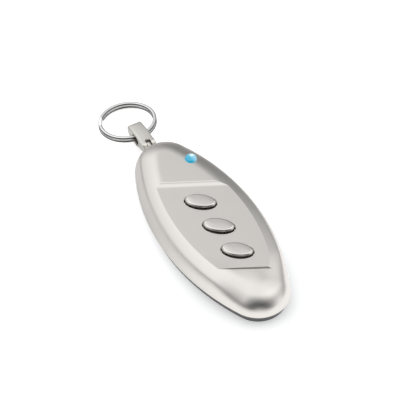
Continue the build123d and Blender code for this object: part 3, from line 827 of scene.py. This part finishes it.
def splitRingTree():
    tree, given = geometryTree("Split ring", [
        ("Wire Radius", "Float"), ("Wire Width", "Float"), ("Wire Height", "Float"), ("Wire Corner", "Float"),
        ("Turn Rise", "Float"), ("Turns", "Float"), ("Climb Start", "Float"), ("Climb End", "Float"),
        ("First Angle", "Float"), ("Tilt", "Vector"), ("Place", "Vector"), ("Material", "Material"),
    ])
    coil = addNode(tree, "GeometryNodeCurveSpiral", {
        "Resolution": 220, "Rotations": given["Turns"], "Start Radius": given["Wire Radius"],
        "End Radius": given["Wire Radius"], "Height": 0.0,
    }).outputs[0]
    along = tree.nodes.new("GeometryNodeSplineParameter").outputs["Factor"]
    climb = mapped(tree, along, given["Climb Start"], given["Climb End"], -0.5, 0.5)
    rise = maths(tree, "MULTIPLY", climb, given["Turn Rise"])
    lift = addNode(tree, "ShaderNodeCombineXYZ", {2: rise}).outputs[0]
    raised = addNode(tree, "GeometryNodeSetPosition", {"Geometry": coil, "Offset": lift}).outputs[0]
    raised = addNode(tree, "GeometryNodeSetCurveNormal", {"Curve": raised}, mode="Z_UP").outputs[0]
    wireShape = addNode(tree, "GeometryNodeCurvePrimitiveQuadrilateral", {
        "Width": given["Wire Width"], "Height": given["Wire Height"],
    }).outputs[0]
    wireShape = addNode(tree, "GeometryNodeFilletCurve", {
        "Curve": wireShape, "Radius": given["Wire Corner"], "Count": 5,
    }, mode="POLY").outputs[0]
    corner = tree.nodes.new("GeometryNodeInputPosition").outputs[0]
    wireShape, section = capture(tree, wireShape, corner)
    swept = addNode(tree, "GeometryNodeCurveToMesh", {
        "Curve": raised, "Profile Curve": wireShape, "Fill Caps": True,
    }).outputs[0]
    swept = addNode(tree, "GeometryNodeStoreNamedAttribute", {
        "Geometry": swept, "Name": "across", "Value": separated(tree, section)[0],
    }, data_type="FLOAT", domain="POINT").outputs[0]
    spin = addNode(tree, "ShaderNodeCombineXYZ", {2: given["First Angle"]}).outputs[0]
    turned = addNode(tree, "GeometryNodeTransform", {"Geometry": swept, "Rotation": spin}).outputs[0]
    moved = addNode(tree, "GeometryNodeTransform", {
        "Geometry": turned, "Rotation": given["Tilt"], "Translation": given["Place"],
    }).outputs[0]
    closeTree(tree, creased(tree, moved, math.radians(50)), given["Material"])
    return tree


# flattened wire: bright faces, and rounded edges darkened as painted shade, told apart by the place across
# the section
def wireWithPaintedShade():
    look = {
        "bright": (0.84, 0.84, 0.83), "dark": (0.14, 0.14, 0.135), "shadeFrom": 0.34, "shadeTo": 0.58,
        "roughness": (0.03, 0.07), "lineSize": 0.5, "bump": 0.0005,
    }
    material = platedMetal(
        "ringSteel", look["bright"], look["roughness"], lineSize=look["lineSize"], bump=look["bump"],
    )
    tree = material.node_tree
    across = addNode(tree, "ShaderNodeAttribute", attribute_name="across").outputs["Fac"]
    # painted shade: the colour turns dark on the rounded edges of the wire
    side = mapped(tree, maths(tree, "ABSOLUTE", across), look["shadeFrom"] * mm, look["shadeTo"] * mm)
    shader = tree.nodes["Principled BSDF"]
    tree.links.new(blend(tree, side, look["bright"], look["dark"]), shader.inputs["Base Color"])
    return material


def splitRing():
    radius = ring["outerRadius"] - ring["wireWidth"] / 2
    flat = 360 - ring["climbAngle"] - ring["endGap"]
    whole = 2 * flat + ring["climbAngle"]
    tilt = math.radians(ring["tilt"])
    y = ring["eyeY"] + math.cos(tilt) * radius
    z = loop["eyeZ"] - math.sin(tilt) * radius
    first = ring["climbCentre"] + ring["climbAngle"] / 2 + ring["endGap"]
    return grown("splitRing", splitRingTree(), {
        "Wire Radius": radius * mm, "Wire Width": ring["wireWidth"] * mm,
        "Wire Height": ring["wireHeight"] * mm, "Wire Corner": ring["wireCorner"] * mm,
        "Turn Rise": (ring["wireHeight"] + ring["turnGap"]) * mm, "Turns": whole / 360,
        "Climb Start": flat / whole, "Climb End": (flat + ring["climbAngle"]) / whole,
        "First Angle": math.radians(first), "Tilt": (-tilt, 0, 0), "Place": (0, y * mm, z * mm),
        "Material": wireWithPaintedShade(),
    })


handOver(outward(splitRing()), "ring", "ring_steel", "split_ring")


# Finishes of the CAD pieces that stay as they are

inner = {  # how it is made, colour, roughness, and the nodes that carry it
    "boardLaminate": (moulded, (0.02, 0.13, 0.06), (0.25, 0.4), "circuit_board"),
    "chipResin": (moulded, (0.02, 0.02, 0.022), (0.45, 0.6), "controller_chip radio_chip"),
    "crystalCan": (platedMetal, (0.65, 0.65, 0.66), (0.2, 0.35), "crystal"),
    "componentCeramic": (moulded, (0.35, 0.26, 0.16), (0.4, 0.6), "chip_components"),
    "ledResin": (moulded, (0.75, 0.75, 0.62), (0.2, 0.35), "indicator_led"),
    "antennaWire": (platedMetal, (0.75, 0.42, 0.2), (0.25, 0.4), "antenna"),
    "cellSteel": (platedMetal, (0.66, 0.66, 0.65), (0.22, 0.38), "battery_cell battery_cap"),
    "gasketPlastic": (moulded, (0.03, 0.03, 0.035), (0.5, 0.6), "battery_gasket"),
    "contactSteel": (platedMetal, (0.6, 0.59, 0.55), (0.25, 0.4), "battery_clip battery_contact"),
    "switchPlastic": (
        moulded, (0.02, 0.02, 0.02), (0.4, 0.55), "switch_base_1 switch_base_2 switch_base_3",
    ),
    "switchSteel": (
        platedMetal, (0.65, 0.65, 0.65), (0.2, 0.4), "switch_cover_1 switch_cover_2 switch_cover_3",
    ),
    "plungerPlastic": (
        moulded, (0.2, 0.16, 0.12), (0.4, 0.55), "switch_plunger_1 switch_plunger_2 switch_plunger_3",
    ),
    "pinSteel": (platedMetal, (0.55, 0.55, 0.55), (0.25, 0.35), "link_pin"),
    "screwSteel": (platedMetal, (0.40, 0.40, 0.41), (0.25, 0.4), "case_screws"),
}
for name, (kind, colour, roughness, carriers) in inner.items():
    material = kind(name, colour, roughness)
    for carrier in carriers.split():
        painted(nodes[carrier], material)
print("finishes on kept nodes:", len(inner))


# Floor, sky and camera

# a pale floor that shows white and keeps the shadow; its glow differs between the nose and the ring end as
# painted light: to the camera it is brighter at the ring end, washing out the shadow there, and in shiny
# surfaces it is brighter at the nose, a painted reflection on the casing's near walls
def palePlane():
    look = {
        "size": 6.0, "colour": (0.80, 0.80, 0.80), "roughness": 0.9, "specular": 0.1,
        # painted light: glow at the nose and at the ring end, to the camera and in shiny surfaces, and
        # between which places
        "seen": (0.42, 0.62), "mirroredPaintedLight": (0.66, 0.22), "from": -30, "to": 22,
    }
    bm = bmesh.new()
    bmesh.ops.create_grid(bm, x_segments=1, y_segments=1, size=look["size"] / 2)
    mesh = bpy.data.meshes.new("floor")
    bm.to_mesh(mesh)
    bm.free()
    floor = meshObject("floor", mesh)
    material = bpy.data.materials.new("palePaper")
    material.use_nodes = True
    tree = material.node_tree
    shader = tree.nodes["Principled BSDF"]
    shader.inputs["Base Color"].default_value = (*look["colour"], 1)
    shader.inputs["Roughness"].default_value = look["roughness"]
    shader.inputs["Specular IOR Level"].default_value = look["specular"]
    along = separated(tree, tree.nodes.new("ShaderNodeTexCoord").outputs["Object"])[1]
    rays = tree.nodes.new("ShaderNodeLightPath").outputs
    lift = 0.0
    # painted light: the floor's glow changes along Y, apart for camera rays and for glossy rays
    for ray, (nose, tip) in (("Is Camera Ray", look["seen"]), ("Is Glossy Ray", look["mirroredPaintedLight"])):
        level = mapped(tree, along, look["from"] * mm, look["to"] * mm, nose, tip)
        lift = maths(tree, "ADD", lift, maths(tree, "MULTIPLY", rays[ray], level))
    shader.inputs["Emission Color"].default_value = (1, 1, 1, 1)
    tree.links.new(lift, shader.inputs["Emission Strength"])
    floor.data.materials.append(material)


# the studio: soft glows in the sky, each (azimuth from +Y towards +X, elevation, strength, narrowness);
# hardly any stand behind the camera, so the casing keeps its dark side there
studio = {
    "colour": (0.98, 0.99, 1.0),
    "glows": {
        "top": (0, 90, 0.56, 10), "highBack": (0, 60, 0.58, 10), "highRight": (120, 60, 1.30, 10),
        "highLeft": (300, 60, 0.77, 10), "back": (0, 32, 1.06, 10), "right": (80, 32, 1.00, 10),
        "left": (280, 32, 0.97, 10), "lowLeft": (315, 8, 0.63, 12), "lowRight": (135, 8, 1.25, 12),
        "lowNose": (205, 3, 0.92, 32),
    },
}


def addWorld():
    world = bpy.data.worlds.new("studio")
    world.use_nodes = True
    tree = world.node_tree
    background = tree.nodes["Background"]
    background.inputs["Color"].default_value = (*studio["colour"], 1)
    towards = tree.nodes.new("ShaderNodeTexCoord").outputs["Generated"]
    total = 0.0
    for azimuth, elevation, strength, narrowness in studio["glows"].values():
        a, e = math.radians(azimuth), math.radians(elevation)
        middle = (math.sin(a) * math.cos(e), math.cos(a) * math.cos(e), math.sin(e))
        near = addNode(tree, "ShaderNodeVectorMath", {0: towards, 1: middle}, operation="DOT_PRODUCT")
        fall = maths(tree, "MULTIPLY", maths(tree, "SUBTRACT", near.outputs["Value"], 1.0), narrowness)
        total = maths(tree, "ADD", total, maths(tree, "MULTIPLY", maths(tree, "EXPONENT", fall), strength))
    rays = tree.nodes.new("ShaderNodeLightPath").outputs
    tree.links.new(maths(tree, "MAXIMUM", rays["Is Camera Ray"], total), background.inputs["Strength"])
    bpy.context.scene.world = world


# where the photograph was taken from: the lens is aimed at the origin and shifted to frame the remote
def addCamera():
    view = {
        "azimuth": -30.009, "elevation": 49.865, "distance": 0.7961,
        "lens": 217.6, "shift": (-0.0280, 0.0945),
    }
    a, e = math.radians(view["azimuth"]), math.radians(view["elevation"])
    back = Vector((math.sin(a) * math.cos(e), -math.cos(a) * math.cos(e), math.sin(e)))
    data = bpy.data.cameras.new("camera")
    data.lens = view["lens"]
    data.sensor_width = 36
    data.shift_x, data.shift_y = view["shift"]
    data.clip_start, data.clip_end = 0.01, 20
    camera = show(bpy.data.objects.new("camera", data))
    camera.location = back * view["distance"]
    camera.rotation_euler = (-back).to_track_quat("-Z", "Y").to_euler()
    bpy.context.scene.camera = camera


palePlane()
addWorld()
addCamera()
bpy.context.scene.view_settings.view_transform = "Standard"
print("floor, sky and camera are in place")
